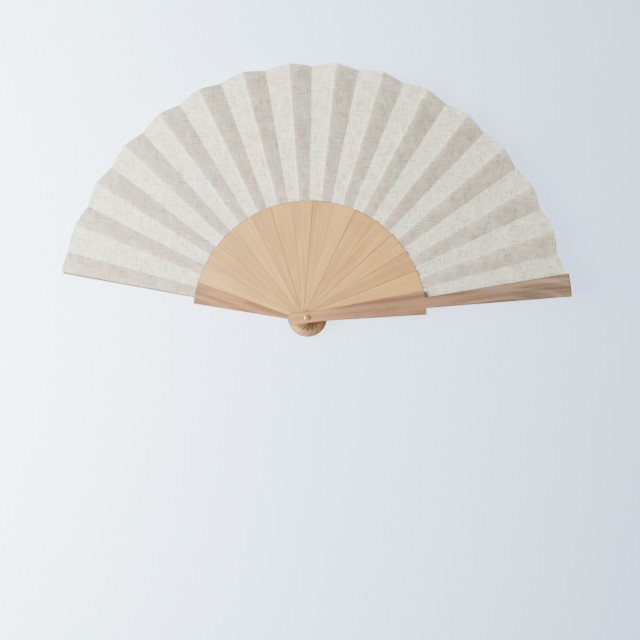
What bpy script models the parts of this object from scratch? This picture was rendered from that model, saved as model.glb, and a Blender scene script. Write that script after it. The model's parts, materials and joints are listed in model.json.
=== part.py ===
"""A folding fan, opened flat: two guards and fourteen ribs on one rivet, and a pleated linen leaf.

The rivet's axis is +Z, the fan's middle line is +Y, and z = 0 is the rear rivet head's flat face.
Sticks are numbered from the front guard (0, on top) to the rear guard (15, at the bottom).
"""

import math

import bmesh
import bpy
from mathutils import Matrix, Vector

MM = 0.001

# The spread: how many ribs, the angle between neighbours, and where the front guard points.
RIBS = 14
PITCH = math.radians(10.68)
FRONT_ANGLE = (math.pi - (RIBS + 1) * PITCH) / 2

# The stack along the rivet.
HEAD_HEIGHT = 1.3 * MM
RIVET_CLEARANCE = 0.1 * MM
GUARD_THICKNESS = 3.0 * MM
RIB_THICKNESS = 0.75 * MM
LEVEL = 0.9 * MM
STICK_CLEARANCE = LEVEL - RIB_THICKNESS

# The rivet.
PIN_RADIUS = 1.5 * MM
HOLE_RADIUS = 1.6 * MM
HEAD_RADIUS = 2.5 * MM
HEAD_FLAT_RADIUS = 1.2 * MM
ROUND_SIDES = 24

# A stick's outline, from its round tail past the rivet to the shoulder.
TAIL_LENGTH = 16.0 * MM
TAIL_RADIUS = 5.9 * MM
TAIL_SWEEP = math.radians(95)
WAIST_HALF = 4.5 * MM
WAIST_LENGTH = 13.0 * MM
SHOULDER_RADIUS = 97.5 * MM
SHOULDER_HALF = 9.7 * MM
ARC_STEPS = 8

# The narrow slip of each stick, beyond the shoulder.
SLIP_ROOT = 92.0 * MM
GUARD_SLIP_HALF = 4.4 * MM
FRONT_GUARD_TIP = 214.3 * MM
REAR_GUARD_TIP = 212.0 * MM
GUARD_TIP_HALF = 9.5 * MM
GUARD_TIP_ROUNDING = 120.0 * MM
RIB_SLIP_HALF = 2.6 * MM
RIB_TIP = 206.0 * MM
RIB_TIP_HALF = 3.2 * MM
RIB_SLIP_THICKNESS = 0.3 * MM
RIB_SLIP_LIFT = 0.05 * MM

# The recess that each guard has on its inner side, so that the folded leaf fits under it.
RECESS_AT_SHOULDER = 0.74 * MM
RECESS_AT_RIM = 1.86 * MM
RECESS_START = SHOULDER_RADIUS + 0.1 * MM
RECESS_REACH = 225.0 * MM
RECESS_HALF = 15.0 * MM

# The leaf: facets between straight creases, alternately glued to a rib and free.
LEAF_INNER = 98.0 * MM
RIM_AT_RIDGE = 212.5 * MM
RIM_AT_VALLEY = 209.3 * MM
RIM_AT_END = 213.9 * MM
CLOTH = 0.18 * MM
LEAF_LIFT = 0.49 * MM
RIDGE_ANGLE = math.radians(1.8)
VALLEY_ANGLE = math.radians(-3.4)
RISE_INNER = 0.3 * MM
RISE_OUTER = 1.6 * MM
END_FACET_EDGE = math.radians(2.3)
REAR_EDGE_ANGLE = math.radians(-2.6)
GLUE_GAP = 0.06 * MM
CREASE_GAP = 0.15 * MM
FACET_STEPS = 4

# Where each level of the stack starts.
REAR_GUARD_Z = HEAD_HEIGHT + RIVET_CLEARANCE
LAST_RIB_Z = REAR_GUARD_Z + GUARD_THICKNESS + STICK_CLEARANCE
FRONT_GUARD_Z = LAST_RIB_Z + RIBS * LEVEL
FRONT_HEAD_Z = FRONT_GUARD_Z + GUARD_THICKNESS + RIVET_CLEARANCE


def remove_everything():
    for item in list(bpy.data.objects):
        bpy.data.objects.remove(item, do_unlink=True)


def new_collection(name):
    collection = bpy.data.collections.new(name)
    bpy.context.scene.collection.children.link(collection)
    return collection


def material(name, colour, roughness, metallic=0.0):
    made = bpy.data.materials.new(name)
    made.use_nodes = True
    shader = made.node_tree.nodes["Principled BSDF"]
    shader.inputs["Base Color"].default_value = (*colour, 1.0)
    shader.inputs["Roughness"].default_value = roughness
    shader.inputs["Metallic"].default_value = metallic
    return made


def add_object(name, mesh, collection, finish=None):
    made = bpy.data.objects.new(name, mesh)
    collection.objects.link(made)
    if finish and not mesh.materials:
        mesh.materials.append(finish)
    return made


def stick_angle(index):
    return FRONT_ANGLE + index * PITCH


def rib_level(index):
    return FRONT_GUARD_Z - index * LEVEL


def along_leaf(radius):
    """0 at the leaf's inner edge and 1 at its rim."""
    return (radius - LEAF_INNER) / (RIM_AT_RIDGE - LEAF_INNER)


def rise(radius):
    """How far a ridge stands above the middle of its facet, and a valley below it."""
    return RISE_INNER + (RISE_OUTER - RISE_INNER) * along_leaf(radius)


def recess(radius):
    return RECESS_AT_SHOULDER + (RECESS_AT_RIM - RECESS_AT_SHOULDER) * along_leaf(radius)


def facet_tilt(radius):
    """The slope across a glued facet, from its valley up to its ridge."""
    half_width = radius * (RIDGE_ANGLE - VALLEY_ANGLE) / 2
    return rise(radius) / half_width


def arc(centre, radius, start, end, steps):
    """Points along an arc whose centre is on the stick's middle line."""
    turns = [start + (end - start) * step / steps for step in range(steps + 1)]
    return [(centre + radius * math.cos(turn), radius * math.sin(turn)) for turn in turns]


def mirrored(half):
    """A closed outline, from the points of its upper half, in order along the stick."""
    lower = [(x, -y) for x, y in reversed(half) if y > 0]
    return half + lower


def blade_half():
    """The upper half of a stick's outline, from the tail's end to the shoulder's corner."""
    tail_end = math.pi - TAIL_SWEEP
    tail = arc(TAIL_RADIUS - TAIL_LENGTH, TAIL_RADIUS, math.pi, tail_end, ARC_STEPS)
    tail[0] = (-TAIL_LENGTH, 0.0)
    return tail + [(0.0, WAIST_HALF), (WAIST_LENGTH, WAIST_HALF)]


def shoulder_arc(end_half):
    """The shoulder, from its corner in to a half-width of end_half."""
    corner = math.asin(SHOULDER_HALF / SHOULDER_RADIUS)
    end = math.asin(end_half / SHOULDER_RADIUS)
    return arc(0.0, SHOULDER_RADIUS, corner, end, ARC_STEPS)


def guard_outline(tip_radius):
    tip_sweep = math.asin(GUARD_TIP_HALF / GUARD_TIP_ROUNDING)
    tip_end = tip_radius + GUARD_TIP_ROUNDING * (1 - math.cos(tip_sweep))
    tip = arc(tip_end - GUARD_TIP_ROUNDING, GUARD_TIP_ROUNDING, tip_sweep, 0.0, ARC_STEPS // 2)
    tip[-1] = (tip_end, 0.0)
    return mirrored(blade_half() + shoulder_arc(GUARD_SLIP_HALF) + tip)


def rib_blade_outline():
    shoulder = shoulder_arc(0.0)
    shoulder[-1] = (SHOULDER_RADIUS, 0.0)
    return mirrored(blade_half() + shoulder)


def rib_slip_outline():
    return mirrored([(SLIP_ROOT, RIB_SLIP_HALF), (SHOULDER_RADIUS, RIB_SLIP_HALF), (RIB_TIP, RIB_TIP_HALF)])


def plate(name, outline, thickness):
    """A flat piece with this outline, from z = 0 up to its thickness."""
    curve = bpy.data.curves.new(name, "CURVE")
    curve.dimensions = "2D"
    curve.fill_mode = "BOTH"
    curve.extrude = thickness / 2
    spline = curve.splines.new("POLY")
    spline.points.add(len(outline) - 1)
    for point, (x, y) in zip(spline.points, outline):
        point.co = (x, y, 0.0, 1.0)
    spline.use_cyclic_u = True
    guide = bpy.data.objects.new(name, curve)
    guide.location.z = thickness / 2
    bpy.context.scene.collection.objects.link(guide)
    bpy.context.view_layer.update()
    depsgraph = bpy.context.evaluated_depsgraph_get()
    mesh = bpy.data.meshes.new_from_object(guide.evaluated_get(depsgraph))
    mesh.transform(guide.matrix_world)
    bpy.data.objects.remove(guide, do_unlink=True)
    weld(mesh)
    return mesh


def weld(mesh):
    """Join a plate's loose faces into one closed body."""
    shape = bmesh.new()
    shape.from_mesh(mesh)
    bmesh.ops.remove_doubles(shape, verts=shape.verts, dist=0.001 * MM)
    bmesh.ops.recalc_face_normals(shape, faces=shape.faces)
    shape.to_mesh(mesh)
    shape.free()


def add_cutter(name, mesh, cutters):
    cutter = add_object(name, mesh, cutters)
    cutter.hide_render = True
    cutter.display_type = "WIRE"
    return cutter


def hole_cutter(cutters):
    """The rivet's hole, through any stick."""
    shape = bmesh.new()
    bmesh.ops.create_cone(shape, cap_ends=True, segments=ROUND_SIDES, radius1=HOLE_RADIUS,
                          radius2=HOLE_RADIUS, depth=4 * GUARD_THICKNESS)
    mesh = bpy.data.meshes.new("rivet_hole")
    shape.to_mesh(mesh)
    shape.free()
    return add_cutter("rivet_hole", mesh, cutters)


def recess_cutter(cutters):
    """A wedge that thins a guard from below, more towards its tip."""
    shape = bmesh.new()
    bmesh.ops.create_cube(shape, size=1.0)
    for corner in shape.verts:
        x = RECESS_REACH if corner.co.x > 0 else RECESS_START
        y = math.copysign(RECESS_HALF, corner.co.y)
        z = recess(x) if corner.co.z > 0 else -GUARD_THICKNESS
        corner.co = (x, y, z)
    mesh = bpy.data.meshes.new("guard_recess")
    shape.to_mesh(mesh)
    shape.free()
    return add_cutter("guard_recess", mesh, cutters)


def combined(mesh, steps):
    """The mesh after a list of (operation, other object) Booleans."""
    work = bpy.data.objects.new("work", mesh)
    bpy.context.scene.collection.objects.link(work)
    for operation, other in steps:
        modifier = work.modifiers.new(operation, "BOOLEAN")
        modifier.operation = operation
        modifier.solver = "EXACT"
        modifier.object = other
    bpy.context.view_layer.update()
    depsgraph = bpy.context.evaluated_depsgraph_get()
    result = bpy.data.meshes.new_from_object(work.evaluated_get(depsgraph))
    bpy.data.objects.remove(work, do_unlink=True)
    result.materials.clear()
    return result


def guard_mesh(name, tip_radius, wedge, hole):
    """A guard with its recess below, at z = 0."""
    blank = plate(name, guard_outline(tip_radius), GUARD_THICKNESS)
    mesh = combined(blank, [("DIFFERENCE", wedge), ("DIFFERENCE", hole)])
    mesh.name = name
    return mesh


def flip(mesh):
    """Turn a guard's recess to its top."""
    mesh.transform(Matrix.Translation((0, 0, GUARD_THICKNESS)) @ Matrix.Scale(-1, 4, (0, 0, 1)))
    mesh.flip_normals()


def rib_mesh(cutters, hole):
    """A rib: a blade, and a thin slip that leans with the facet glued on it."""
    slip = plate("rib_slip", rib_slip_outline(), RIB_SLIP_THICKNESS)
    middle = math.tan((RIDGE_ANGLE + VALLEY_ANGLE) / 2)
    for vertex in slip.vertices:
        x, y, z = vertex.co
        lean = facet_tilt(max(x, LEAF_INNER)) * (y - middle * x)
        vertex.co.z = z + RIB_SLIP_LIFT + (lean if x > SLIP_ROOT + MM else 0.0)
    slip_object = add_cutter("rib_slip", slip, cutters)
    blade = plate("rib", rib_blade_outline(), RIB_THICKNESS)
    mesh = combined(blade, [("UNION", slip_object), ("DIFFERENCE", hole)])
    mesh.name = "rib"
    return mesh


def facet_mesh(name, right, left):
    """A strip of cloth between two creases, each given as (angle, rim radius, height at a radius)."""
    shape = bmesh.new()
    bmesh.ops.create_grid(shape, x_segments=FACET_STEPS, y_segments=1, size=1.0)
    for corner in shape.verts:
        angle, rim, height = left if corner.co.y > 0 else right
        radius = LEAF_INNER + (rim - LEAF_INNER) * (corner.co.x + 1) / 2
        inset = -math.copysign(CREASE_GAP, corner.co.y)
        along = Vector((math.cos(angle), math.sin(angle), 0.0))
        across = Vector((-math.sin(angle), math.cos(angle), 0.0))
        corner.co = along * radius + across * inset + Vector((0, 0, height(radius)))
    shape.normal_update()
    bmesh.ops.solidify(shape, geom=shape.faces[:], thickness=CLOTH)
    for corner in shape.verts:
        corner.co.z += CLOTH / 2
    bmesh.ops.recalc_face_normals(shape, faces=shape.faces)
    mesh = bpy.data.meshes.new(name)
    shape.to_mesh(mesh)
    shape.free()
    return mesh


def ridge(level=0.0):
    """The crease on a stick's left, above its facet's middle."""
    return RIDGE_ANGLE, RIM_AT_RIDGE, lambda radius: level + LEAF_LIFT + rise(radius)


def valley(turn=0.0, level=0.0):
    """The crease on a stick's right, below its facet's middle."""
    return VALLEY_ANGLE + turn, RIM_AT_VALLEY, lambda radius: level + LEAF_LIFT - rise(radius)


def under_front_guard(angle):
    """An edge of the facet glued to the front guard's recess, from the guard's own level."""
    return angle, RIM_AT_RIDGE, lambda radius: recess(radius) - GLUE_GAP - CLOTH / 2


def on_rear_guard(angle, rim, level=0.0):
    """An edge of the facet glued to the rear guard's recess, from the rear guard's own level."""
    return angle, rim, lambda radius: level + GUARD_THICKNESS - recess(radius) + GLUE_GAP + CLOTH / 2


def place(piece, index, height):
    """Turn a piece to its stick's angle about the rivet, at its level."""
    piece.location = (0.0, 0.0, height)
    piece.rotation_euler = (0.0, 0.0, stick_angle(index))


def add_sticks(parts, cutters, guard_wood, rib_wood):
    hole = hole_cutter(cutters)
    wedge = recess_cutter(cutters)
    front = guard_mesh("guard_front", FRONT_GUARD_TIP, wedge, hole)
    rear = guard_mesh("guard_rear", REAR_GUARD_TIP, wedge, hole)
    flip(rear)
    rib = rib_mesh(cutters, hole)
    place(add_object("guard_front", front, parts, guard_wood), 0, FRONT_GUARD_Z)
    place(add_object("guard_rear", rear, parts, guard_wood), RIBS + 1, REAR_GUARD_Z)
    for index in range(1, RIBS + 1):
        place(add_object(f"rib_{index:02d}", rib, parts, rib_wood), index, rib_level(index))


def add_leaf(parts, linen):
    """The glued facets lie on their sticks; each free facet runs to the next stick's valley."""
    front_edge = under_front_guard(-END_FACET_EDGE)
    front_glued = facet_mesh("leaf_glued_front", front_edge, under_front_guard(RIDGE_ANGLE))
    rear_valley = on_rear_guard(REAR_EDGE_ANGLE, RIM_AT_RIDGE)
    rear_glued = facet_mesh("leaf_glued_rear", rear_valley, on_rear_guard(END_FACET_EDGE, RIM_AT_END))
    place(add_object("leaf_glued_front", front_glued, parts, linen), 0, FRONT_GUARD_Z)
    place(add_object("leaf_glued_rear", rear_glued, parts, linen), RIBS + 1, REAR_GUARD_Z)

    glued = facet_mesh("leaf_glued", valley(), ridge())
    for index in range(1, RIBS + 1):
        place(add_object(f"leaf_glued_{index:02d}", glued, parts, linen), index, rib_level(index))

    next_valley = valley(PITCH, -LEVEL)
    first = facet_mesh("leaf_free_first", under_front_guard(RIDGE_ANGLE), next_valley)
    middle = facet_mesh("leaf_free_middle", ridge(), next_valley)
    rear_level = REAR_GUARD_Z - LAST_RIB_Z
    last_valley = on_rear_guard(REAR_EDGE_ANGLE + PITCH, RIM_AT_RIDGE, rear_level)
    last = facet_mesh("leaf_free_last", ridge(), last_valley)
    for index in range(RIBS + 1):
        mesh = first if index == 0 else last if index == RIBS else middle
        place(add_object(f"leaf_free_{index:02d}", mesh, parts, linen), index, rib_level(index))


def turned(name, profile):
    """A solid of revolution about +Z, from (radius, height) points, top to bottom."""
    shape = bmesh.new()
    points = [shape.verts.new((radius, 0.0, height)) for radius, height in profile]
    for upper, lower in zip(points, points[1:]):
        shape.edges.new((upper, lower))
    bmesh.ops.spin(shape, geom=shape.verts[:] + shape.edges[:], cent=(0, 0, 0), axis=(0, 0, 1),
                   angle=2 * math.pi, steps=ROUND_SIDES, use_merge=True)
    bmesh.ops.remove_doubles(shape, verts=shape.verts, dist=0.001 * MM)
    bmesh.ops.recalc_face_normals(shape, faces=shape.faces)
    mesh = bpy.data.meshes.new(name)
    shape.to_mesh(mesh)
    shape.free()
    return mesh


def head_profile(base, top):
    """A shallow dome with a flat in its middle, from its flat face at height top to its base."""
    steps = ARC_STEPS
    rounding = [(HEAD_FLAT_RADIUS + (HEAD_RADIUS - HEAD_FLAT_RADIUS) * math.sin(turn),
                 base + (top - base) * math.cos(turn))
                for turn in (math.pi / 2 * step / steps for step in range(steps + 1))]
    return [(0.0, top)] + rounding + [(0.0, base)]


def add_rivet(parts, brass):
    pin_bottom = HEAD_HEIGHT + RIVET_CLEARANCE / 2
    pin_top = FRONT_HEAD_Z - RIVET_CLEARANCE / 2
    pin_profile = [(0.0, pin_top), (PIN_RADIUS, pin_top), (PIN_RADIUS, pin_bottom), (0.0, pin_bottom)]
    add_object("rivet_pin", turned("rivet_pin", pin_profile), parts, brass)
    front = turned("rivet_head_front", head_profile(FRONT_HEAD_Z, FRONT_HEAD_Z + HEAD_HEIGHT))
    rear = turned("rivet_head_rear", head_profile(HEAD_HEIGHT, 0.0))
    for head in (front, rear):
        head.shade_smooth()
        head.set_sharp_from_angle(angle=math.radians(35))
        add_object(head.name, head, parts, brass)


def build():
    remove_everything()
    parts = new_collection("folding_fan")
    cutters = new_collection("cutters")
    guard_wood = material("guard_wood", (0.42, 0.25, 0.16), 0.55)
    rib_wood = material("rib_wood", (0.62, 0.44, 0.28), 0.6)
    linen = material("linen", (0.74, 0.71, 0.64), 0.95)
    brass = material("brass", (0.72, 0.52, 0.22), 0.25, metallic=1.0)
    add_sticks(parts, cutters, guard_wood, rib_wood)
    add_leaf(parts, linen)
    add_rivet(parts, brass)


build()
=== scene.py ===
"""The looks of an open folding fan: sandalwood sticks, a brass rivet and a pleated linen leaf."""

import json
import math

import bpy
import numpy as np
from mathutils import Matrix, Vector

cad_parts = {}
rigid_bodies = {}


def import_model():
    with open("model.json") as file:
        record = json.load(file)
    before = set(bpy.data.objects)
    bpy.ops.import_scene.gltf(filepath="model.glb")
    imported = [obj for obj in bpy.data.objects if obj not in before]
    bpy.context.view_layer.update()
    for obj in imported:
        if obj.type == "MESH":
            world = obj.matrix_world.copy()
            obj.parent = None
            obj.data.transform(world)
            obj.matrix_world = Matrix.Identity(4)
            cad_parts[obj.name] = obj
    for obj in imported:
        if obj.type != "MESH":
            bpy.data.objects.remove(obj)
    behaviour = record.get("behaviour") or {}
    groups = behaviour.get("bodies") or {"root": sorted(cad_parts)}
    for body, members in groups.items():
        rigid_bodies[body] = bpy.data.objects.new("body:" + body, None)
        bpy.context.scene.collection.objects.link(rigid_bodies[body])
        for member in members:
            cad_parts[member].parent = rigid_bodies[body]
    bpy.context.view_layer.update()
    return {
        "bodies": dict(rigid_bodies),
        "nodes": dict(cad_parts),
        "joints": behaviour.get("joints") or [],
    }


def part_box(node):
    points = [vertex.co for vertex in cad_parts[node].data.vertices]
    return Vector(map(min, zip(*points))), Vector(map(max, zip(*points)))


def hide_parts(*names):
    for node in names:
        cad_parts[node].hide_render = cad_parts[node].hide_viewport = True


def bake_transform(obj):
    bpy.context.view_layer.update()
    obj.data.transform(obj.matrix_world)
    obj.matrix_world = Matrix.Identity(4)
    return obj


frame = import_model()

MM = 0.001

# The frame: its sticks, from the front guard (0) to the rear guard, and the angle between neighbours.
RIBS = sum(name.startswith("rib_") for name in frame["bodies"])
STICKS = RIBS + 2
PITCH = math.radians(frame["joints"][0]["range_deg"][1])
FRONT_ANGLE = (math.pi - (STICKS - 1) * PITCH) / 2
FRONT_GUARD_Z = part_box("guard_front")[0][2]
GUARD_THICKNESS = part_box("guard_front")[1][2] - FRONT_GUARD_Z
REAR_GUARD_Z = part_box("guard_rear")[0][2]
STACK = FRONT_GUARD_Z - REAR_GUARD_Z - GUARD_THICKNESS

# A stick's outline: its round tail, its blade from the waist to the shoulder, and its slip along the leaf.
TAIL_CENTRE = -10.1 * MM
TAIL_RADIUS = 5.9 * MM
WAIST_HALF = 4.5 * MM
WAIST_LENGTH = 13.0 * MM
SHOULDER_RADIUS = 97.5 * MM
SHOULDER_HALF = 9.7 * MM
RIB_THICKNESS = 0.75 * MM
LEVEL = (STACK + RIB_THICKNESS) / (RIBS + 1)
RIB_SLIP_HALF = 2.6 * MM
RIB_TIP_HALF = 3.2 * MM
RIB_TIP = 206.0 * MM
GUARD_SLIP_HALF = 4.4 * MM
GUARD_TIP_HALF = 9.5 * MM
GUARD_TIP = 214.3 * MM

# Below, a ramp for between() is (low, high, to_low, to_high), and a pair named LIMITS or FROM_TO is the low
# and high of a ramp from 0 to 1. A PHASE is how far a sine moves on from one stick to the next, in radians.

# The sticks' edges: how round they are, how wide and how strong the dark line along them is, and over what
# lengths the outline changes from blade to slip, beside a guard's slip, and from blade to tail. The dark line
# is partly the burnt edge of the cut wood and partly painted shade where one stick steps down to the next;
# along a guard's slip it is painted stronger, as the shade in the gap between the guard and the leaf.
GUARD_ROUNDING = 0.45 * MM
RIB_ROUNDING = 0.12 * MM
ROUNDING_STEPS = 3
ROUNDED_ABOVE = math.radians(40)
WELD = 0.002 * MM
EDGE_WIDTH = 0.8 * MM
EDGE_CORE = 0.3
EDGE_STEP = 0.05 * MM
SLIP_STEP = 0.1 * MM
TAIL_STEP = 2.0 * MM
GUARD_EDGE_LINE = 0.3
RIB_EDGE_LINE = 0.65
RIB_EDGE_LINE_VARIES = 0.25
EDGE_LINE_PHASE = 2.9
EDGE_LINE_NEAR_PIVOT = (11.0 * MM, 15.0 * MM, 0.1, 1.0)
GUARD_SLIP_EDGE_PAINTED_SHADE = (SHOULDER_RADIUS, SHOULDER_RADIUS + 8.0 * MM, 1.0, 2.4)

# The leaf: its rim, its creases beside each stick, and how far they stand above and below the facet's middle.
# Its cloth begins at LEAF_EDGE, a little inside LEAF_INNER, from where its depth and heights are measured.
LEAF_INNER = 98.0 * MM
LEAF_EDGE = 97.65 * MM
RIM_AT_RIDGE = 212.5 * MM
RIM_AT_VALLEY = 210.1 * MM
RIM_AT_END = 213.9 * MM
RIDGE_ANGLE = math.radians(1.8)
VALLEY_ANGLE = math.radians(-3.4)
OUTER_EDGE = math.radians(2.1)
REAR_EDGE_ANGLE = math.radians(-2.6)
LEAF_LIFT = 0.49 * MM
RISE_INNER = 0.3 * MM
RISE_OUTER = 1.6 * MM
RECESS_AT_SHOULDER = 0.74 * MM
RECESS_AT_RIM = 1.86 * MM
GLUE_GAP = 0.15 * MM
CLOTH = 0.16 * MM

# The leaf's mesh: rows from the inner edge to the rim, columns across a glued and a free facet, the dip past
# a ridge, the rim's bulges, and ripples made of waves with these pulses in radians per metre.
ROWS = 56
GLUED_COLUMNS = 10
FREE_COLUMNS = 14
FOLD_DIP = 0.56 * MM
FOLD_SHARES = (0.02, 0.05, 0.09, 0.13, 0.17, 0.22)
RIM_BULGE_GLUED = 0.1 * MM
RIM_BULGE_FREE = 0.3 * MM
RIPPLE = 0.07 * MM
RIPPLE_SEED = 7
RIPPLE_WAVES = 9
RIPPLE_PULSES = (250, 900)

# How strongly a stick shows through the facet glued to it, with painted shade added there, as the glued
# facets
# face away from the light: a rib less within the fade angle of the ridge, a guard less and less towards the
# facet's left edge. GUARD_SHADE is the half-width and the end's radius of a guard's show-through.
GLUE_AND_SHADE_FADE = math.radians(3.8)
GLUE_AND_SHADE_AT_RIDGE = 0.38
GLUE_VARIES = 0.1
GLUE_PHASE = 5.1
GLUE_ON_GUARD = 1.15
GLUE_ON_GUARD_FADES = 0.45
GUARD_SHADE = (9.0 * MM, 216.0 * MM)

# Colours: the linen's, what glue with painted shade and a slip behind it multiply them by, and the shades of
# the other finishes.
LINEN_DARK = (0.492, 0.466, 0.351)
LINEN_LIGHT = (0.712, 0.700, 0.545)
LINEN_SLUB = (0.78, 0.78, 0.66)
LINEN_SHADE = (0.29, 0.265, 0.19)
LINEN_FLECK = (0.19, 0.135, 0.085)
# The glue's tint is also painted shade, darkening the glued facets that face away from the light.
LINEN_OVER_GLUE_AND_SHADE = (0.742, 0.660, 0.664)
LINEN_OVER_SLIP = (0.99, 0.92, 0.93)
RIB_SHADES = ((0.297, 0.162, 0.050), (0.480, 0.267, 0.080))
FRONT_GUARD_SHADES = ((0.124, 0.0615, 0.030), (0.226, 0.1165, 0.060))
REAR_GUARD_SHADES = ((0.166, 0.075, 0.025), (0.296, 0.139, 0.052))
GUARD_TIP_SHADES = ((0.108, 0.068, 0.0437), (0.258, 0.165, 0.1085))
# The ribs' tail shades are painted light: lighter than the ribs, to offset the shade among the stacked tails.
RIB_TAIL_PAINTED_LIGHT_SHADES = ((0.41, 0.228, 0.104), (0.63, 0.362, 0.162))
GUARD_TAIL_SHADES = ((0.225, 0.107, 0.038), (0.390, 0.194, 0.072))
BRASS_SHADES = ((0.95, 0.65, 0.19), (0.76, 0.46, 0.10))
# The table's two colours paint the light's falloff: brighter and bluer on the left, by the window.
TABLE_PAINTED_FALLOFF_SHADES = ((0.78, 0.93, 1.0), (0.66, 0.755, 0.90))

# Where along a stick its own shades change over to those of its tip and its tail, and how the ribs' tails
# darken from the first rib to the last: painted light on the top tails, painted shade on the lower ones, as
# each lies lower in the stack and further in the shade of those above it.
GUARD_TIP_FROM_TO = (0.08, 0.19)
GUARD_TAIL_FROM_TO = (0.035, -0.005)
RIB_TAIL_FROM_TO = (0.012, -0.002)
FIRST_RIB_TAIL_PAINTED_LIGHT = 1.25
RIB_TAIL_PAINTED_SHADE_STEP = 0.045

# Wood grain: how often each pattern repeats in a metre, along, across and through the stick.
STICK_OFFSET = (0.37, 0.11, 0.23)
SWAY_SCALE = (14.0, 60.0, 60.0)
SWAY = 6.0 * MM
RING_SCALE = (5.0, 130.0, 130.0)
FINE_SCALE = (25.0, 1600.0, 900.0)
STREAK_SCALE = (9.0, 420.0, 300.0)
PATCH_SCALE = (22.0, 60.0, 60.0)
PORE_SCALE = (160.0, 3200.0, 1500.0)
PORE_LIMITS = (0.66, 0.74)
FLAME_SCALE = (17.3, 56.0, 20.0)
FLAME_OFFSET = (-2.6, 0.78, 0.0)
FLAME_LINE = 0.55
FLAME_MEAN = 0.15
FLAME_STRENGTH = (0.10, 0.17, 0.04, 0.17)

# How much each pattern adds to the wood's tone, how dark pores and edges are, and how the surface shines.
FINE_SHARE = 0.45
STREAK_SHARE = 0.55
PATCH_SHARE = 0.5
GUARD_FIGURE = 0.35
RIB_FIGURE = 0.08
STICK_TONE = 0.10
STICK_TONE_PHASE = 2.4
TONE_LIMITS = (0.27, 0.73)
# The dark edge line's darkness: partly burnt wood, partly painted shade.
EDGE_DARKNESS = 0.30
PORE_DARKNESS = 0.45
PORE_STRENGTH = 0.35
PORE_DEPTH = -0.8
WOOD_RELIEF = 0.08 * MM
WOOD_BUMP = 0.35
WOOD_ROUGHNESS = (0.2, 0.8, 0.62, 0.48)
WOOD_SHINE = 0.3

# Linen: how often each pattern repeats in a metre, along and across a thread, and how strongly it shows.
THREAD_SWAY = 1.2 * MM
THREAD_SWAY_SCALE = 60.0
THREAD_SCALE = (60.0, 900.0)
SLUB_SCALE = (130.0, 780.0)
PALE_SLUB_LIMITS = (0.60, 0.72)
DARK_SLUB_LIMITS = (0.38, 0.27)
FLECK_SCALE = (420.0, 300.0)
FLECK_LIMITS = (0.70, 0.76)
MOTTLE_SCALE = 110.0
MOTTLE_SHARE = 0.35
WEAVE_SCALE = 330.0
LINEN_TONE_LIMITS = (0.38, 0.62)
PALE_SLUB_STRENGTH = 0.6
DARK_SLUB_STRENGTH = 0.75
FLECK_STRENGTH = 0.7
GLUE_PATCH_SCALE = 45.0
GLUE_PATCHES = (0.32, 0.68, 0.72, 1.22)
GLUE_AT_SLIP_END = (0.94, 1.05, 1.0, 0.65)
SLIP_EDGE = (0.55, 1.5, 1.0, 0.0)
SLIP_EDGE_WANDERS = 0.5
SLIP_END = (0.985, 1.01, 1.0, 0.0)
WEAVE_HEIGHT = 0.35
SLUB_HEIGHT = 0.8
LINEN_RELIEF = 0.18 * MM
CRINKLE_SCALE = (50.0, 70.0)
CRINKLE_RELIEF = 2.5 * MM
LINEN_BUMP = 0.5
LINEN_ROUGHNESS = 0.92
LINEN_SHINE = 0.25
LINEN_SHEEN = 0.15
LINEN_SHEEN_ROUGHNESS = 0.5
SEE_THROUGH = 0.25

# Brass: its patches of wear, and its fine scratches at a slant.
BRASS_WEAR_SCALE = 900.0
BRASS_WEAR_LIMITS = (0.35, 0.7)
BRASS_SCRATCH_SCALE = (300.0, 3000.0, 300.0)
BRASS_SCRATCH_TURN = 0.6
BRASS_ROUGHNESS = (0.7, 1.3, 0.20, 0.38)
BRASS_RELIEF = 0.05 * MM
BRASS_BUMP = 0.15

# The stage, the light and the camera. KEY_SHADOW is the share of the key light that the fan keeps off the
# table.
TABLE_SIZE = 6.0
TABLE_Z = -0.2 * MM
# Where, across x in metres, the table's painted falloff of light runs, and how cloudy it is.
TABLE_FALLOFF_FROM_TO = (-0.2, 0.3)
TABLE_CLOUDS = 0.3
TABLE_CLOUD_SCALE = 5.0
TABLE_ROUGHNESS = 0.7
TABLE_SHINE = 0.25
KEY_POWER = 51.0
KEY_SHADOW = 0.3
KEY_SIZE = 0.8
KEY_PLACE = (-0.70, -0.02, 0.50)
KEY_AIM = (0.0, 0.08, 0.0)
KEY_COLOUR = (1.0, 0.99, 0.96)
TABLE_KEY_COLOUR = (1.0, 1.1, 1.3)
SKY_COLOUR = (0.90, 0.94, 1.0, 1.0)
SKY_STRENGTH = 0.5
CAMERA_SENSOR = 36.0
CAMERA_VIEW = math.radians(45)
CAMERA_PLACE = (37.3 * MM, -10.3 * MM, 650.0 * MM)
CAMERA_TURNS = (0.92, 2.36, 2.92)


def stick_angle(index):
    return FRONT_ANGLE + index * PITCH


def is_end(index):
    """Whether a stick is one of the two guards."""
    return index in (0, STICKS - 1)


def stick_body(index):
    return "guard_front" if index == 0 else "guard_rear" if index == STICKS - 1 else f"rib_{index:02d}"


# ---------------------------------------------------------------- shader nodes


def add_node(tree, kind, inputs=None, **settings):
    """A node with its settings, and its inputs set to values or linked from sockets."""
    made = tree.nodes.new(kind)
    for name, value in settings.items():
        setattr(made, name, value)
    for name, value in (inputs or {}).items():
        if isinstance(value, bpy.types.NodeSocket):
            tree.links.new(value, made.inputs[name])
        else:
            made.inputs[name].default_value = value
    return made


def maths(tree, operation, first, second=0.0):
    return add_node(tree, "ShaderNodeMath", {0: first, 1: second}, operation=operation).outputs[0]


def plus(tree, first, second):
    return maths(tree, "ADD", first, second)


def times(tree, first, second):
    return maths(tree, "MULTIPLY", first, second)


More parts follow.
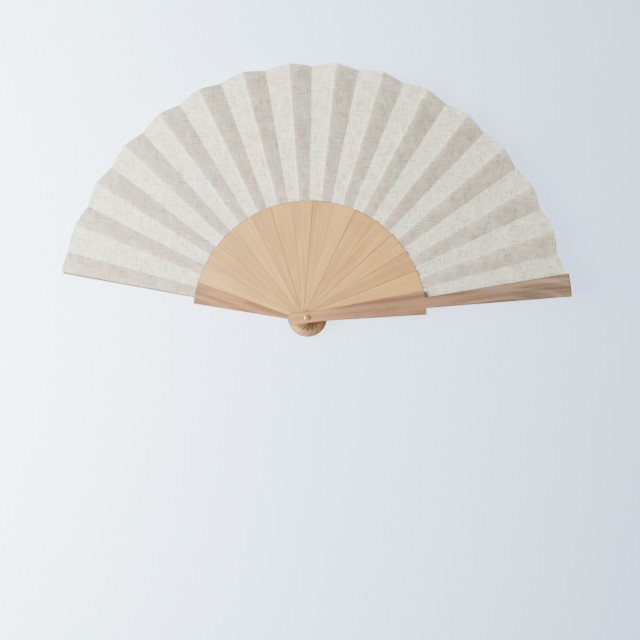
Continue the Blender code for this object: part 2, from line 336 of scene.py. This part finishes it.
def off_centre(tree, value, centre=0.5):
    return maths(tree, "SUBTRACT", value, centre)


def split(tree, vector):
    """A vector's x, y and z sockets."""
    return add_node(tree, "ShaderNodeSeparateXYZ", {0: vector}).outputs


def vector_maths(tree, operation, first, second=(0.0, 0.0, 0.0)):
    return add_node(tree, "ShaderNodeVectorMath", {0: first, 1: second}, operation=operation).outputs


def noise(tree, vector, scale=1.0, detail=2.0, roughness=0.5, distortion=0.0):
    inputs = {"Vector": vector, "Scale": scale, "Detail": detail, "Roughness": roughness,
              "Distortion": distortion}
    return add_node(tree, "ShaderNodeTexNoise", inputs).outputs["Fac"]


def stretched(tree, vector, scale, rotation=0.0, offset=(0.0, 0.0, 0.0)):
    inputs = {"Vector": vector, "Scale": scale, "Rotation": (0.0, 0.0, rotation), "Location": offset}
    return add_node(tree, "ShaderNodeMapping", inputs).outputs[0]


def between(tree, value, low, high, to_low=0.0, to_high=1.0):
    """The value, mapped from low..high to to_low..to_high and clamped."""
    inputs = {"Value": value, "From Min": low, "From Max": high, "To Min": to_low, "To Max": to_high}
    return add_node(tree, "ShaderNodeMapRange", inputs, clamp=True).outputs[0]


def mix_values(tree, factor, first, second):
    return add_node(tree, "ShaderNodeMix", {0: factor, 2: first, 3: second}).outputs[0]


def blend_colours(tree, factor, first, second, mode="MIX"):
    made = add_node(tree, "ShaderNodeMix", data_type="RGBA", blend_type=mode)
    for socket, value in ((made.inputs[0], factor), (made.inputs[6], first), (made.inputs[7], second)):
        if isinstance(value, bpy.types.NodeSocket):
            tree.links.new(value, socket)
        else:
            socket.default_value = value if socket is made.inputs[0] else (*value, 1.0)
    return made.outputs[2]


def bump(tree, height, strength, distance, **under):
    """A bump of this height; Normal= is the bump that it lies on."""
    inputs = {"Height": height, "Strength": strength, "Distance": distance, **under}
    return add_node(tree, "ShaderNodeBump", inputs).outputs[0]


def new_material(name):
    made = bpy.data.materials.new(name)
    made.use_nodes = True
    made.node_tree.nodes.clear()
    return made, made.node_tree


def principled(tree, **inputs):
    """A Principled shader; underscores in the names of its inputs stand for spaces."""
    named = {name.replace("_", " "): value for name, value in inputs.items()}
    return add_node(tree, "ShaderNodeBsdfPrincipled", named).outputs[0]


def finish_with(tree, surface):
    add_node(tree, "ShaderNodeOutputMaterial", {"Surface": surface})


# ---------------------------------------------------------------- wood


def beside_edge(tree, along, is_guard):
    """How far a point on a stick lies inside its outline, in metres."""
    slip_half, tip_half, tip = (GUARD_SLIP_HALF, GUARD_TIP_HALF, GUARD_TIP) if is_guard else (
        RIB_SLIP_HALF, RIB_TIP_HALF, RIB_TIP)
    reach, side, _ = split(tree, along)
    across = maths(tree, "ABSOLUTE", side)
    flat = add_node(tree, "ShaderNodeCombineXYZ", {0: reach, 1: side}).outputs[0]
    from_pivot = vector_maths(tree, "LENGTH", flat)["Value"]
    on_slip = between(tree, from_pivot, SHOULDER_RADIUS, SHOULDER_RADIUS + EDGE_STEP)
    blade = between(tree, reach, WAIST_LENGTH, SHOULDER_RADIUS, WAIST_HALF, SHOULDER_HALF)
    slip = between(tree, reach, SHOULDER_RADIUS, tip, slip_half, tip_half)
    end = between(tree, on_slip, 0.0, 1.0, SHOULDER_RADIUS, tip)
    from_end = maths(tree, "SUBTRACT", end, from_pivot)
    if is_guard:
        # In front of a guard's slip, the blade goes on into the slip and has no end.
        before_slip = between(tree, across, slip_half - SLIP_STEP, slip_half, 1.0, 0.0)
        from_end = plus(tree, from_end, times(tree, before_slip, maths(tree, "SUBTRACT", 1.0, on_slip)))
    from_side = maths(tree, "SUBTRACT", mix_values(tree, on_slip, blade, slip), across)
    inside = maths(tree, "MINIMUM", from_side, from_end)
    from_centre = vector_maths(tree, "DISTANCE", flat, (TAIL_CENTRE, 0.0, 0.0))["Value"]
    inside_tail = maths(tree, "SUBTRACT", TAIL_RADIUS, from_centre)
    on_tail = between(tree, reach, TAIL_CENTRE, TAIL_CENTRE + TAIL_STEP, 1.0, 0.0)
    return mix_values(tree, on_tail, inside, inside_tail)


def flame(tree, along):
    """Pale arches across a guard's outer half, as where growth rings are cut at a slant."""
    arches = add_node(tree, "ShaderNodeTexWave",
                      {"Vector": stretched(tree, along, FLAME_SCALE, offset=FLAME_OFFSET), "Scale": 0.8,
                       "Distortion": 1.6, "Detail": 2.0, "Detail Scale": 1.2},
                      wave_type="RINGS", rings_direction="Z")
    return between(tree, arches.outputs["Fac"], FLAME_LINE, 1.0)


def growth_rings(tree, warped, own):
    rings = add_node(tree, "ShaderNodeTexWave",
                     {"Vector": stretched(tree, warped, RING_SCALE, offset=own), "Scale": 1.0,
                      "Distortion": 5.0, "Detail": 2.0, "Detail Scale": 0.8},
                     wave_type="RINGS", rings_direction="SPHERICAL", wave_profile="SIN")
    return rings.outputs["Fac"]


def grain(tree, along, index, is_guard):
    """The wood's patterns along one stick: their mix, the fine fibres and the pores."""
    own = tuple(step * index for step in STICK_OFFSET)
    sway = noise(tree, stretched(tree, along, SWAY_SCALE, offset=own))
    shift = add_node(tree, "ShaderNodeCombineXYZ", {"Y": times(tree, sway, SWAY)}).outputs[0]
    warped = vector_maths(tree, "ADD", along, shift)[0]
    fine = noise(tree, stretched(tree, warped, FINE_SCALE, offset=own), detail=4.0, roughness=0.6)
    streaks = noise(tree, stretched(tree, warped, STREAK_SCALE, offset=own), detail=3.0, roughness=0.55)
    patches = noise(tree, stretched(tree, along, PATCH_SCALE, offset=own))
    pores = between(tree, noise(tree, stretched(tree, warped, PORE_SCALE, offset=own), detail=1.0),
                    *PORE_LIMITS)

    figure = GUARD_FIGURE if is_guard else RIB_FIGURE
    mix = plus(tree, times(tree, fine, FINE_SHARE), times(tree, streaks, STREAK_SHARE))
    mix = plus(tree, mix, times(tree, off_centre(tree, growth_rings(tree, warped, own)), figure))
    mix = plus(tree, mix, times(tree, off_centre(tree, patches), PATCH_SHARE))
    mix = plus(tree, mix, STICK_TONE * math.sin(STICK_TONE_PHASE * index))
    if is_guard:
        arches = off_centre(tree, flame(tree, along), FLAME_MEAN)
        mix = plus(tree, mix, times(tree, arches, between(tree, split(tree, along)[0], *FLAME_STRENGTH)))
    return mix, fine, pores


def end_shades(index, is_guard):
    """Where a stick's colour changes over at its ends, and to which shades."""
    if is_guard:
        return (GUARD_TIP_FROM_TO, GUARD_TIP_SHADES), (GUARD_TAIL_FROM_TO, GUARD_TAIL_SHADES)
    # Painted light and shade: the first ribs' tails are lighter, the last ones darker, lower in the stack.
    tail_painted_light_and_shade = FIRST_RIB_TAIL_PAINTED_LIGHT - RIB_TAIL_PAINTED_SHADE_STEP * index
    return ((RIB_TAIL_FROM_TO, [tuple(part * tail_painted_light_and_shade for part in shade) for shade in RIB_TAIL_PAINTED_LIGHT_SHADES]),)


def burnt_edge_and_painted_shade(tree, along, edge_burn_and_shade, is_guard):
    """The strength of a stick's dark edge line, burnt wood and painted shade: faint near the pivot, strong on
    a guard's slip.
    """
    inside = beside_edge(tree, along, is_guard)
    edge = between(tree, inside, EDGE_WIDTH * EDGE_CORE, EDGE_WIDTH, edge_burn_and_shade, 0.0)
    from_pivot = vector_maths(tree, "LENGTH", along)["Value"]
    edge = times(tree, edge, between(tree, from_pivot, *EDGE_LINE_NEAR_PIVOT))
    if is_guard:
        edge = times(tree, edge, between(tree, from_pivot, *GUARD_SLIP_EDGE_PAINTED_SHADE))
    return edge


def wood(name, index, shades, edge_burn_and_shade, is_guard=False):
    """Sandalwood with its grain along one stick; shades are (dark, light)."""
    made, tree = new_material(name)
    place = add_node(tree, "ShaderNodeTexCoord").outputs["Object"]
    along = add_node(tree, "ShaderNodeVectorRotate", {"Vector": place, "Angle": -stick_angle(index)},
                     rotation_type="Z_AXIS").outputs[0]
    mix, fine, pores = grain(tree, along, index, is_guard)
    tone = between(tree, mix, *TONE_LIMITS)
    reach = split(tree, along)[0]
    colour = blend_colours(tree, tone, *shades)
    for (start, end), far_shades in end_shades(index, is_guard):
        far = blend_colours(tree, tone, *far_shades)
        colour = blend_colours(tree, between(tree, reach, start, end), colour, far)
    darkest = shades[0]
    # The dark edge line: partly burnt wood, partly painted shade where the sticks step over each other.
    edge = burnt_edge_and_painted_shade(tree, along, edge_burn_and_shade, is_guard)
    colour = blend_colours(tree, edge, colour, tuple(part * EDGE_DARKNESS for part in darkest))
    in_pore = tuple(part * PORE_DARKNESS for part in darkest)
    colour = blend_colours(tree, times(tree, pores, PORE_STRENGTH), colour, in_pore)
    height = plus(tree, fine, times(tree, pores, PORE_DEPTH))
    finish_with(tree, principled(tree, Base_Color=colour, Roughness=between(tree, mix, *WOOD_ROUGHNESS),
                                 Specular_IOR_Level=WOOD_SHINE,
                                 Normal=bump(tree, height, WOOD_BUMP, WOOD_RELIEF)))
    return made


# ---------------------------------------------------------------- linen


def along_and_across(tree, threads, scale, detail, roughness=0.5):
    """The same noise along the weft and along the warp, its scale given along and across the thread."""
    along, across = scale
    return [noise(tree, stretched(tree, threads, (*way, 1.0)), detail=detail, roughness=roughness)
            for way in ((along, across), (across, along))]


def woven_colour(tree, threads, mottle):
    """The linen's colour before anything shows through it, with its tone and its pale slubs."""
    across, down = along_and_across(tree, threads, THREAD_SCALE, 3.0, 0.65)
    slubs = along_and_across(tree, threads, SLUB_SCALE, 1.0)
    pale_slubs = maths(tree, "MAXIMUM", *(between(tree, slub, *PALE_SLUB_LIMITS) for slub in slubs))
    dark_slubs = maths(tree, "MAXIMUM", *(between(tree, slub, *DARK_SLUB_LIMITS) for slub in slubs))
    specks = noise(tree, stretched(tree, threads, (*FLECK_SCALE, 1.0)), detail=2.0, roughness=0.6)
    flecks = between(tree, specks, *FLECK_LIMITS)
    tone = plus(tree, times(tree, across, 0.5), times(tree, down, 0.5))
    tone = plus(tree, tone, times(tree, off_centre(tree, mottle), MOTTLE_SHARE))
    colour = blend_colours(tree, between(tree, tone, *LINEN_TONE_LIMITS), LINEN_DARK, LINEN_LIGHT)
    colour = blend_colours(tree, times(tree, pale_slubs, PALE_SLUB_STRENGTH), colour, LINEN_SLUB)
    colour = blend_colours(tree, times(tree, dark_slubs, DARK_SLUB_STRENGTH), colour, LINEN_SHADE)
    return blend_colours(tree, times(tree, flecks, FLECK_STRENGTH), colour, LINEN_FLECK), tone, pale_slubs


def shown_through(tree, cloth, mottle, colour):
    """The colour with the glue and the slip behind a glued facet showing through it, and painted shade on
    that facet.
    """
    across, along, _ = split(tree, add_node(tree, "ShaderNodeUVMap", uv_map="slip").outputs[0])
    # The glued attribute holds the strength of the glue's show-through together with the painted shade.
    glued = add_node(tree, "ShaderNodeAttribute", attribute_name="glued").outputs["Fac"]
    glued = times(tree, glued, between(tree, noise(tree, cloth, GLUE_PATCH_SCALE), *GLUE_PATCHES))
    glued = times(tree, glued, between(tree, along, *GLUE_AT_SLIP_END))
    wander = times(tree, off_centre(tree, mottle), SLIP_EDGE_WANDERS)
    beside = plus(tree, maths(tree, "ABSOLUTE", across), wander)
    on_slip = times(tree, between(tree, beside, *SLIP_EDGE), between(tree, along, *SLIP_END))
    # Painted shade and the glue's show-through darken the glued facet.
    colour = blend_colours(tree, glued, colour, LINEN_OVER_GLUE_AND_SHADE, "MULTIPLY")
    return blend_colours(tree, times(tree, on_slip, glued), colour, LINEN_OVER_SLIP, "MULTIPLY")


def weave_relief(tree, cloth, threads, tone, pale_slubs):
    """The linen's surface: threads and slubs on top of wide, shallow crinkles."""
    weft, warp = (add_node(tree, "ShaderNodeTexWave", {"Vector": threads, "Scale": WEAVE_SCALE},
                           bands_direction=way).outputs["Fac"] for way in "YX")
    height = plus(tree, times(tree, times(tree, weft, warp), WEAVE_HEIGHT),
                  times(tree, pale_slubs, SLUB_HEIGHT))
    crinkle = noise(tree, stretched(tree, cloth, (*CRINKLE_SCALE, 1.0)), roughness=0.4, distortion=0.6)
    crinkled = bump(tree, crinkle, LINEN_BUMP, CRINKLE_RELIEF)
    return bump(tree, plus(tree, height, tone), LINEN_BUMP, LINEN_RELIEF, Normal=crinkled)


def linen():
    """Natural linen that lets some light through and shows the slips glued behind it."""
    made, tree = new_material("linen")
    cloth = add_node(tree, "ShaderNodeUVMap", uv_map="cloth").outputs[0]
    sway = add_node(tree, "ShaderNodeTexNoise", {"Vector": cloth, "Scale": THREAD_SWAY_SCALE, "Detail": 2.0})
    loose = vector_maths(tree, "MULTIPLY", sway.outputs["Color"], (THREAD_SWAY, THREAD_SWAY, 0.0))[0]
    threads = vector_maths(tree, "ADD", cloth, loose)[0]
    mottle = noise(tree, cloth, MOTTLE_SCALE, 3.0, 0.6)
    colour, tone, pale_slubs = woven_colour(tree, threads, mottle)
    colour = shown_through(tree, cloth, mottle, colour)
    normal = weave_relief(tree, cloth, threads, tone, pale_slubs)
    surface = principled(tree, Base_Color=colour, Roughness=LINEN_ROUGHNESS, Normal=normal,
                         Sheen_Weight=LINEN_SHEEN, Sheen_Roughness=LINEN_SHEEN_ROUGHNESS,
                         Specular_IOR_Level=LINEN_SHINE)
    through = add_node(tree, "ShaderNodeBsdfTranslucent", {"Color": colour, "Normal": normal}).outputs[0]
    both = add_node(tree, "ShaderNodeMixShader", {0: SEE_THROUGH, 1: surface, 2: through}).outputs[0]
    finish_with(tree, both)
    return made


# ---------------------------------------------------------------- brass and table


def brass():
    made, tree = new_material("brass")
    place = add_node(tree, "ShaderNodeTexCoord").outputs["Object"]
    wear = noise(tree, place, BRASS_WEAR_SCALE, 4.0, 0.6)
    scratches = noise(tree, stretched(tree, place, BRASS_SCRATCH_SCALE, BRASS_SCRATCH_TURN), detail=3.0)
    colour = blend_colours(tree, between(tree, wear, *BRASS_WEAR_LIMITS), *BRASS_SHADES)
    rough = between(tree, plus(tree, wear, scratches), *BRASS_ROUGHNESS)
    finish_with(tree, principled(tree, Base_Color=colour, Roughness=rough, Metallic=1.0,
                                 Normal=bump(tree, scratches, BRASS_BUMP, BRASS_RELIEF)))
    return made


def table_with_painted_falloff():
    # The table's colour is painted light: brighter and bluer on the left, darker to the right, a little
    # cloudy.
    made, tree = new_material("table_with_painted_falloff")
    place = add_node(tree, "ShaderNodeTexCoord").outputs["Object"]
    clouds = times(tree, off_centre(tree, noise(tree, place, TABLE_CLOUD_SCALE, 3.0)), TABLE_CLOUDS)
    across = between(tree, plus(tree, split(tree, place)[0], clouds), *TABLE_FALLOFF_FROM_TO)
    colour = blend_colours(tree, across, *TABLE_PAINTED_FALLOFF_SHADES)
    finish_with(tree, principled(tree, Base_Color=colour, Roughness=TABLE_ROUGHNESS,
                                 Specular_IOR_Level=TABLE_SHINE))
    return made


# ---------------------------------------------------------------- sticks and rivet


def dress(name, material, rounding):
    """Give a CAD node its material, and rounded edges if rounding isn't 0."""
    node = frame["nodes"][name]
    node.data.materials.clear()
    node.data.materials.append(material)
    node.modifiers.new("Weld", "WELD").merge_threshold = WELD
    if rounding:
        bevel = node.modifiers.new("Bevel", "BEVEL")
        bevel.width = rounding
        bevel.segments = ROUNDING_STEPS
        bevel.limit_method = "ANGLE"
        bevel.angle_limit = ROUNDED_ABOVE
        bevel.harden_normals = True


def dress_sticks():
    for index in range(STICKS):
        if is_end(index):
            shades = REAR_GUARD_SHADES if index else FRONT_GUARD_SHADES
            made = wood(f"guard_wood_{index:02d}", index, shades, GUARD_EDGE_LINE, is_guard=True)
            dress(stick_body(index), made, GUARD_ROUNDING)
        else:
            edge_burn_and_shade = RIB_EDGE_LINE + RIB_EDGE_LINE_VARIES * math.sin(EDGE_LINE_PHASE * index)
            made = wood(f"rib_wood_{index:02d}", index, RIB_SHADES, edge_burn_and_shade)
            dress(stick_body(index), made, RIB_ROUNDING)


def dress_rivet():
    metal = brass()
    for name in ("rivet_head_front", "rivet_head_rear", "rivet_pin"):
        dress(name, metal, 0.0)


# ---------------------------------------------------------------- leaf


def along_leaf(radius):
    return (radius - LEAF_INNER) / (RIM_AT_RIDGE - LEAF_INNER)


def rise(radius):
    return RISE_INNER + (RISE_OUTER - RISE_INNER) * along_leaf(radius)


def recess(radius):
    return RECESS_AT_SHOULDER + (RECESS_AT_RIM - RECESS_AT_SHOULDER) * along_leaf(radius)


def level(index):
    """The height of a rib's lower face."""
    return FRONT_GUARD_Z - index * LEVEL


def ridge_height(index, radius):
    if index == 0:
        return FRONT_GUARD_Z + recess(radius) - GLUE_GAP
    return level(index) + LEAF_LIFT + rise(radius)


def valley_height(index, radius):
    if index == STICKS - 1:
        return REAR_GUARD_Z + GUARD_THICKNESS - recess(radius) + GLUE_GAP
    return level(index) + LEAF_LIFT - rise(radius)


def left_edge(index):
    """The angle, beside stick index, where its free facet meets the next stick's glued one."""
    return PITCH + (REAR_EDGE_ANGLE if index == STICKS - 2 else VALLEY_ANGLE)


def glued_columns(index):
    """Columns across a glued facet: (angle, rim radius, height, weight, stick)."""
    right = {0: -OUTER_EDGE, STICKS - 1: REAR_EDGE_ANGLE}.get(index, VALLEY_ANGLE)
    left = OUTER_EDGE if index == STICKS - 1 else RIDGE_ANGLE
    right_rim = RIM_AT_RIDGE if is_end(index) else RIM_AT_VALLEY
    left_rim = RIM_AT_END if index == STICKS - 1 else RIM_AT_RIDGE
    columns = []
    for share in np.linspace(0.0, 1.0, GLUED_COLUMNS + 1):

        def height(radius, share=share):
            if is_end(index):
                return valley_height(index, radius) if index else ridge_height(index, radius)
            return ridge_height(index, radius) * share + valley_height(index, radius) * (1 - share)

        rim = right_rim + (left_rim - right_rim) * share + RIM_BULGE_GLUED * math.sin(math.pi * share)
        angle = stick_angle(index) + (right + (left - right) * share)
        columns.append((angle, rim, height, 1.0 if index == STICKS - 1 else 0.0, index))
    return columns


def fold_dip(share, radius):
    """How far a free facet drops just past the ridge, to pass under its stick's slip when folded."""
    slip_half = RIB_SLIP_HALF + (RIB_TIP_HALF - RIB_SLIP_HALF) * along_leaf(radius)
    beside_slip = (RIDGE_ANGLE - slip_half / radius) / (RIDGE_ANGLE - VALLEY_ANGLE)
    down = min(share / beside_slip, 1.0)
    return FOLD_DIP * down * (2 - down) * (1 - share)


def free_columns(index):
    """Columns across the free facet on a stick's left, down to the next stick's valley."""
    end_rim = RIM_AT_RIDGE if index == STICKS - 2 else RIM_AT_VALLEY
    columns = []
    for share in sorted({*np.linspace(0.0, 1.0, FREE_COLUMNS + 1), *FOLD_SHARES}):

        def height(radius, share=share):
            straight = ridge_height(index, radius) * (1 - share) + valley_height(index + 1, radius) * share
            return straight - fold_dip(share, radius)

        rim = RIM_AT_RIDGE + (end_rim - RIM_AT_RIDGE) * share + RIM_BULGE_FREE * math.sin(math.pi * share)
        angle = stick_angle(index) + (RIDGE_ANGLE + (left_edge(index) - RIDGE_ANGLE) * share)
        columns.append((angle, rim, height, share, index))
    return columns


def pleat_columns(index):
    """All columns of a pleat: a glued facet, a free one, and on the last pleat the rear guard's facet too."""
    columns = glued_columns(index) + free_columns(index)[1:]
    return columns + glued_columns(STICKS - 1)[1:] if index == STICKS - 2 else columns


def ripple_field():
    """A smooth seeded field of small ripples over the leaf, as a function of x and y."""
    draw = np.random.default_rng(RIPPLE_SEED)
    waves = [(draw.uniform(*RIPPLE_PULSES), draw.uniform(0, 2 * math.pi), draw.uniform(0, 2 * math.pi))
             for _ in range(RIPPLE_WAVES)]

    def height(x, y):
        total = sum(math.sin(pulse * (x * math.cos(turn) + y * math.sin(turn)) + phase)
                    for pulse, turn, phase in waves)
        return RIPPLE * total / math.sqrt(len(waves))

    return height


def slip_place(index, angle, radius):
    """Where a point lies over a stick's slip: across (1 at its edge) and along (1 at its end)."""
    half, end = GUARD_SHADE if is_end(index) else (RIB_TIP_HALF, RIB_TIP)
    return angle * radius / half, (radius - SHOULDER_RADIUS) / (end - SHOULDER_RADIUS)


def glue_and_shade_strength(index, angle):
    """How strongly the glue, the stick behind a glued facet and the facet's painted shade show at this angle.
    """
    if is_end(index):
        across = (angle - REAR_EDGE_ANGLE) / (OUTER_EDGE - REAR_EDGE_ANGLE)
        return GLUE_ON_GUARD - GLUE_ON_GUARD_FADES * across
    from_ridge = min(max((RIDGE_ANGLE - angle) / GLUE_AND_SHADE_FADE, 0.0), 1.0)
    strength = GLUE_AND_SHADE_AT_RIDGE + (1 - GLUE_AND_SHADE_AT_RIDGE) * from_ridge
    return strength * (1.0 + GLUE_VARIES * math.sin(GLUE_PHASE * index))


def pleat_points(columns, ripple):
    """A pleat's points, row by row from the inner edge to the rim."""
    points = []
    for row in range(ROWS + 1):
        for angle, rim, height, _, _ in columns:
            radius = LEAF_EDGE + (rim - LEAF_EDGE) * row / ROWS
            x, y = radius * math.cos(angle), radius * math.sin(angle)
            points.append((x, y, height(radius) + ripple(x, y)))
    return points


def mark_cloth(mesh, points, columns):
    """Store where each corner lies on the cloth and over its slip, and how much the glue and painted shade
    show there.
    """
    cloth, slip, glued = [], [], []
    for face in mesh.polygons:
        column = face.vertices[0] % len(columns)
        stick = columns[column + 1][4]
        is_glued = columns[column][3] == columns[column + 1][3]
        for loop in face.loop_indices:
            x, y, _ = points[mesh.loops[loop].vertex_index]
            beside = math.atan2(y, x) - stick_angle(stick)
            cloth += (x, y)
            slip += slip_place(stick, beside, math.hypot(x, y))
            glued.append(glue_and_shade_strength(stick, beside) * is_glued)
    for name, values in (("cloth", cloth), ("slip", slip)):
        mesh.uv_layers.new(name=name).data.foreach_set("uv", np.array(values, np.float32))
    mesh.attributes.new("glued", "FLOAT", "CORNER").data.foreach_set("value", np.array(glued, np.float32))


def sharpen_outline(mesh, width):
    """Mark the pleat's four sides sharp, so that the cloth's cut edge isn't shaded into its faces."""
    for edge in mesh.edges:
        rows, sides = zip(*(divmod(vertex, width) for vertex in edge.vertices))
        edge.use_edge_sharp = rows in ((0, 0), (ROWS, ROWS)) or sides in ((0, 0), (width - 1, width - 1))


def pleat_mesh(name, columns, ripple, material):
    points, width = pleat_points(columns, ripple), len(columns)
    faces = [(row * width + column, (row + 1) * width + column, (row + 1) * width + column + 1,
              row * width + column + 1)
             for row in range(ROWS) for column in range(width - 1)]
    mesh = bpy.data.meshes.new(name)
    mesh.from_pydata(points, [], faces)
    mesh.materials.append(material)
    mesh.shade_smooth()
    mark_cloth(mesh, points, columns)
    sharpen_outline(mesh, width)
    return mesh


def blend_over_joint(piece):
    """Bake the pleat's placement into its mesh."""
    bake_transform(piece)


def pleat(index, material, ripple):
    """One continuous pleat: the facet glued on a stick, and the free facet up to the next stick."""
    columns = pleat_columns(index)
    mesh = pleat_mesh(f"leaf_pleat_{index:02d}", columns, ripple, material)
    piece = bpy.data.objects.new(mesh.name, mesh)
    bpy.context.scene.collection.objects.link(piece)
    blend_over_joint(piece)

    thickness = piece.modifiers.new("Solidify", "SOLIDIFY")
    thickness.thickness = CLOTH
    thickness.offset = 0.0

    replaced = [f"leaf_glued_{index:02d}" if index else "leaf_glued_front", f"leaf_free_{index:02d}"]
    if index == STICKS - 2:
        replaced.append("leaf_glued_rear")
    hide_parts(*replaced)


def add_leaf():
    material, ripple = linen(), ripple_field()
    for index in range(STICKS - 1):
        pleat(index, material, ripple)


# ---------------------------------------------------------------- stage, lights and camera


def add_table():
    bpy.ops.mesh.primitive_plane_add(size=TABLE_SIZE, location=(0.0, 0.0, TABLE_Z))
    table = bpy.context.object
    table.name = "table"
    table.data.materials.append(table_with_painted_falloff())
    return table


def add_key_light(name, share, colour):
    """A disc of light at the window's place, with this share of the key's power."""
    light = bpy.data.lights.new(name, "AREA")
    light.shape = "DISK"
    light.size = KEY_SIZE
    light.energy = KEY_POWER * share
    light.color = colour
    lamp = bpy.data.objects.new(name, light)
    lamp.location = KEY_PLACE
    lamp.rotation_euler = (Vector(KEY_AIM) - lamp.location).to_track_quat("-Z", "Y").to_euler()
    bpy.context.scene.collection.objects.link(lamp)
    return lamp


def light_group(name, table, state):
    """A group for light linking: only the table ("INCLUDE"), or everything but the table ("EXCLUDE")."""
    group = bpy.data.collections.new(name)
    group.objects.link(table)
    group.collection_objects[0].light_linking.link_state = state
    return group


def add_lights(table):
    """A window on the left. Part of its light skips the fan's shadow on the table, as from a bright room."""
    add_key_light("key", KEY_SHADOW, KEY_COLOUR)
    on_fan = add_key_light("key_on_fan", 1 - KEY_SHADOW, KEY_COLOUR)
    on_fan.light_linking.receiver_collection = light_group("all_but_table", table, "EXCLUDE")
    on_table = add_key_light("key_on_table", 1 - KEY_SHADOW, TABLE_KEY_COLOUR)
    only_table = light_group("only_table", table, "INCLUDE")
    on_table.light_linking.receiver_collection = only_table
    on_table.light_linking.blocker_collection = only_table

    world = bpy.data.worlds.new("studio")
    world.use_nodes = True
    sky = world.node_tree.nodes["Background"]
    sky.inputs["Color"].default_value = SKY_COLOUR
    sky.inputs["Strength"].default_value = SKY_STRENGTH
    bpy.context.scene.world = world


def add_camera():
    """Looking straight down on the fan, turned and tilted by a few degrees."""
    camera = bpy.data.cameras.new("camera")
    camera.sensor_width = CAMERA_SENSOR
    camera.angle = CAMERA_VIEW
    eye = bpy.data.objects.new("camera", camera)
    eye.location = CAMERA_PLACE
    eye.rotation_euler = tuple(math.radians(turn) for turn in CAMERA_TURNS)
    bpy.context.scene.collection.objects.link(eye)
    bpy.context.scene.camera = eye


dress_sticks()
dress_rivet()
add_leaf()
add_lights(add_table())
add_camera()
